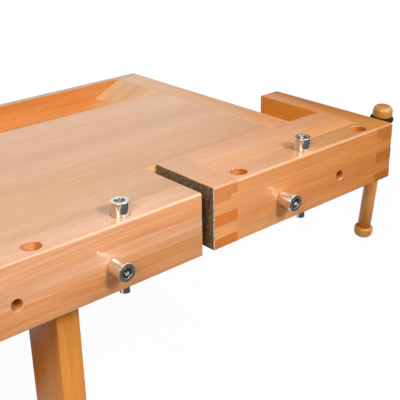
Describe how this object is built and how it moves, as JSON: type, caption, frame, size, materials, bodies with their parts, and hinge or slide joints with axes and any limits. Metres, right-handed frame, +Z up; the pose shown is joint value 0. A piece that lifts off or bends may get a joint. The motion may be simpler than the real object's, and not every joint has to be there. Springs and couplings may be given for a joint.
{
  "type": "woodworking bench with vises",
  "caption": "Beech woodworking bench with a laminated top, rear tray, tail vise and front vise with tommy bars, round steel dogs and a trestle base.",
  "frame": {"origin": "on the floor, under the middle of the bench's bounding box", "axes": "+X along the bench towards the tail vise, +Y from the worker's side towards the tray, +Z up"},
  "size_m": [2.0126, 0.8134, 0.8825],
  "materials": {
    "beech_top": "clear satin lacquer",
    "beech_cross": "clear satin lacquer",
    "beech_tray": "clear satin lacquer",
    "beech_frame": "clear satin lacquer",
    "beech_turned": "clear gloss lacquer",
    "black_rubber": "matt",
    "jaw_felt": "coarse dark felt",
    "nickel": "bright nickel plate",
    "bright_steel": "zinc plated",
    "cast_iron": "dark enamel"
  },
  "bodies": {
    "bench": {"front_beam": "beech_top", "bench_slab": "beech_top", "slab_front_stave": "beech_top", "fixed_jaw_block": "beech_top", "left_end_cap": "beech_cross", "right_end_cap": "beech_cross", "rear_rail": "beech_tray", "tray_floor": "beech_tray", "tray_ramps": "beech_tray", "vise_tongue": "beech_cross", "guide_keeper": "beech_cross", "tail_nut_bracket": "cast_iron", "front_nut_bracket": "cast_iron", "bracket_bolts": "bright_steel", "rod_guide_blocks": "beech_cross", "left_foot": "beech_frame", "left_bearer": "beech_frame", "front_left_post": "beech_frame", "rear_left_post": "beech_frame", "right_foot": "beech_frame", "right_bearer": "beech_frame", "front_right_post": "beech_frame", "rear_right_post": "beech_frame", "foot_pads": "black_rubber", "front_stretcher": "beech_frame", "rear_stretcher": "beech_frame", "long_bolts": "bright_steel", "barrel_nuts": "bright_steel"},
    "tail_vise": {"vise_front_board": "beech_top", "vise_jaw_block": "beech_cross", "vise_end_board": "beech_cross", "vise_top_plate": "beech_top", "vise_back_rail": "beech_top", "vise_guide_bar": "beech_cross", "vise_jaw_lining": "jaw_felt", "tail_flange": "cast_iron", "tail_flange_screws": "bright_steel"},
    "tail_screw": {"tail_screw": "bright_steel", "tail_hub": "cast_iron"},
    "tail_bar": {"tail_bar": "beech_turned", "tail_knobs": "beech_turned", "tail_ring": "black_rubber"},
    "front_vise": {"front_chop": "beech_top", "chop_lining": "jaw_felt", "guide_rods": "bright_steel", "front_flange": "cast_iron", "front_flange_screws": "bright_steel"},
    "front_screw": {"front_screw": "bright_steel", "front_hub": "cast_iron"},
    "front_bar": {"front_bar": "beech_turned", "front_knobs": "beech_turned", "front_ring": "black_rubber"},
    "beam_top_dog": {"beam_top_dog": "nickel", "beam_top_dog_screw": "bright_steel"},
    "vise_top_dog": {"vise_top_dog": "nickel", "vise_top_dog_screw": "bright_steel"},
    "beam_side_dog": {"beam_side_dog": "nickel", "beam_side_dog_screw": "bright_steel"},
    "vise_side_dog": {"vise_side_dog": "nickel", "vise_side_dog_screw": "bright_steel"}
  },
  "joints": [
    {"name": "tail_screw_turn", "type": "hinge", "parent": "tail_vise", "child": "tail_screw", "pos_m": [0.9813, -0.17585, 0.808], "axis": [1, 0, 0], "range_deg": [-1440, 7560]},
    {"name": "tail_vise_slide", "type": "slide", "parent": "bench", "child": "tail_vise", "axis": [1, 0, 0], "range_m": [-0.024, 0.126]},
    {"name": "tail_bar_slide", "type": "slide", "parent": "tail_screw", "child": "tail_bar", "axis": [0, -0.1011, 0.9949], "range_m": [0, 0.1873]},
    {"name": "front_screw_turn", "type": "hinge", "parent": "front_vise", "child": "front_screw", "pos_m": [-0.7393, -0.38165, 0.793], "axis": [0, -1, 0], "range_deg": [-1080, 9720]},
    {"name": "front_vise_slide", "type": "slide", "parent": "bench", "child": "front_vise", "axis": [0, -1, 0], "range_m": [-0.018, 0.162]},
    {"name": "front_bar_slide", "type": "slide", "parent": "front_screw", "child": "front_bar", "axis": [0.4067, 0, 0.9135], "range_m": [0, 0.1873]},
    {"name": "beam_top_dog_slide", "type": "slide", "parent": "bench", "child": "beam_top_dog", "axis": [0, 0, 1], "range_m": [-0.0225, 0.04]},
    {"name": "vise_top_dog_slide", "type": "slide", "parent": "tail_vise", "child": "vise_top_dog", "axis": [0, 0, 1], "range_m": [-0.0225, 0.04]},
    {"name": "beam_side_dog_slide", "type": "slide", "parent": "bench", "child": "beam_side_dog", "axis": [0, -1, 0], "range_m": [0, 0.03]},
    {"name": "vise_side_dog_slide", "type": "slide", "parent": "tail_vise", "child": "vise_side_dog", "axis": [0, -1, 0], "range_m": [0, 0.03]}
  ],
  "couplings": [
    {"joint": "tail_vise_slide", "follows": "tail_screw_turn", "m_per_rad": 0.00095492},
    {"joint": "front_vise_slide", "follows": "front_screw_turn", "m_per_rad": 0.00095492}
  ]
}
